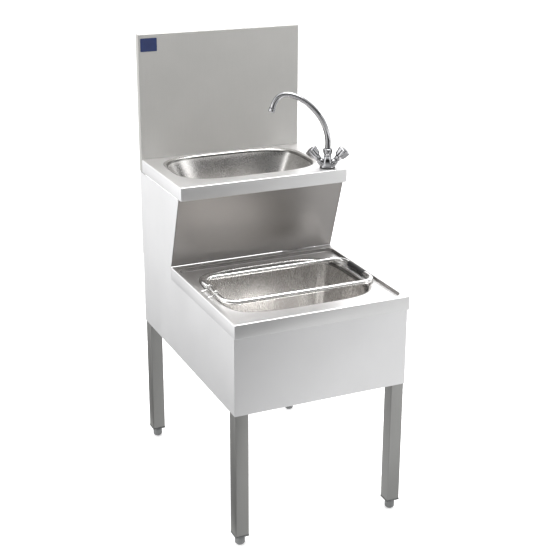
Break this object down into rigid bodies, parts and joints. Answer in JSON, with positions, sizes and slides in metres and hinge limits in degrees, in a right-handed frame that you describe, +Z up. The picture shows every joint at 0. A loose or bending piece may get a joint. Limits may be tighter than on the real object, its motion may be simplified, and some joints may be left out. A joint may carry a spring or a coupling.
{
  "type": "combination hand wash and bucket sink",
  "caption": "Free-standing stainless steel hand wash basin with mixer tap and splashback, above a low bucket sink with a hinged grille, on square legs with levelling feet.",
  "frame": {"origin": "on the floor under the middle of the whole object's box, so the casing's centre plane is at x = -0.00575 because the right tap handle overhangs", "axes": "+X to the right seen from the front, -Y towards the user at the front, +Z up"},
  "size_m": [0.5115, 0.72, 1.256],
  "materials": {
    "satin_steel": "satin brushed sheet",
    "bright_steel": "polished",
    "chrome": "mirror chrome plate",
    "tube_steel": "satin square tube",
    "grey_plastic": "moulded, matte",
    "black_rubber": "matte",
    "brass": "machined",
    "navy_plate": "blank printed plate, slight gloss"
  },
  "bodies": {
    "root": {"splashback": "satin_steel", "basin_worktop": "satin_steel", "side_panel_left": "satin_steel", "side_panel_right": "satin_steel", "sloping_panel": "satin_steel", "sink_worktop": "satin_steel", "skirt_left": "satin_steel", "skirt_right": "satin_steel", "skirt_front": "satin_steel", "rear_rail": "satin_steel", "name_plate": "navy_plate", "basin_bowl": "bright_steel", "sink_bowl": "bright_steel", "basin_waste_strainer": "bright_steel", "basin_waste_tail": "bright_steel", "sink_waste_strainer": "bright_steel", "sink_waste_tail": "bright_steel", "hinge_eye_rear": "bright_steel", "hinge_eye_front": "bright_steel", "basin_waste_seal": "black_rubber", "sink_waste_seal": "black_rubber", "tap_base_seal": "black_rubber", "basin_waste_nut": "brass", "sink_waste_nut": "brass", "tap_back_nut": "brass", "tap_left_inlet_stub": "brass", "tap_right_inlet_stub": "brass", "tap_body": "chrome", "tap_left_bonnet": "chrome", "tap_right_bonnet": "chrome", "tap_spout_nut": "chrome", "tap_clamp_washer": "tube_steel", "leg_front_left": "tube_steel", "foot_insert_front_left": "grey_plastic", "leg_front_right": "tube_steel", "foot_insert_front_right": "grey_plastic", "leg_rear_left": "tube_steel", "foot_insert_rear_left": "grey_plastic", "leg_rear_right": "tube_steel", "foot_insert_rear_right": "grey_plastic"},
    "spout": {"tap_spout": "chrome", "tap_aerator": "chrome"},
    "left_handle": {"tap_left_handle": "chrome", "tap_left_index_cap": "chrome"},
    "right_handle": {"tap_right_handle": "chrome", "tap_right_index_cap": "chrome"},
    "grille": {"grille_rear_bow": "bright_steel", "grille_front_bow": "bright_steel", "grille_hinge_rod": "bright_steel", "grille_rest_rod": "bright_steel", "grille_rest_sleeve": "black_rubber"},
    "foot_front_left": {"foot_front_left": "grey_plastic"},
    "foot_front_right": {"foot_front_right": "grey_plastic"},
    "foot_rear_left": {"foot_rear_left": "grey_plastic"},
    "foot_rear_right": {"foot_rear_right": "grey_plastic"}
  },
  "joints": [
    {"name": "spout_swivel", "type": "hinge", "parent": "root", "child": "spout", "pos_m": [0.20025, 0.047, 0.951], "axis": [0, 0, 1], "continuous": true},
    {"name": "left_valve", "type": "hinge", "parent": "root", "child": "left_handle", "pos_m": [0.16806, 0.06484, 0.93273], "axis": [-0.5738, 0.3181, 0.7547], "range_deg": [0, 90]},
    {"name": "right_valve", "type": "hinge", "parent": "root", "child": "right_handle", "pos_m": [0.23244, 0.02916, 0.93273], "axis": [-0.5738, 0.3181, -0.7547], "range_deg": [0, 90]},
    {"name": "grille_hinge", "type": "hinge", "parent": "root", "child": "grille", "pos_m": [-0.21475, -0.11, 0.6382], "axis": [0, -1, 0], "range_deg": [0, 100]},
    {"name": "foot_front_left_adjust", "type": "slide", "parent": "root", "child": "foot_front_left", "axis": [0, 0, -1], "range_m": [0, 0.025]},
    {"name": "foot_front_right_adjust", "type": "slide", "parent": "root", "child": "foot_front_right", "axis": [0, 0, -1], "range_m": [0, 0.025]},
    {"name": "foot_rear_left_adjust", "type": "slide", "parent": "root", "child": "foot_rear_left", "axis": [0, 0, -1], "range_m": [0, 0.025]},
    {"name": "foot_rear_right_adjust", "type": "slide", "parent": "root", "child": "foot_rear_right", "axis": [0, 0, -1], "range_m": [0, 0.025]}
  ]
}
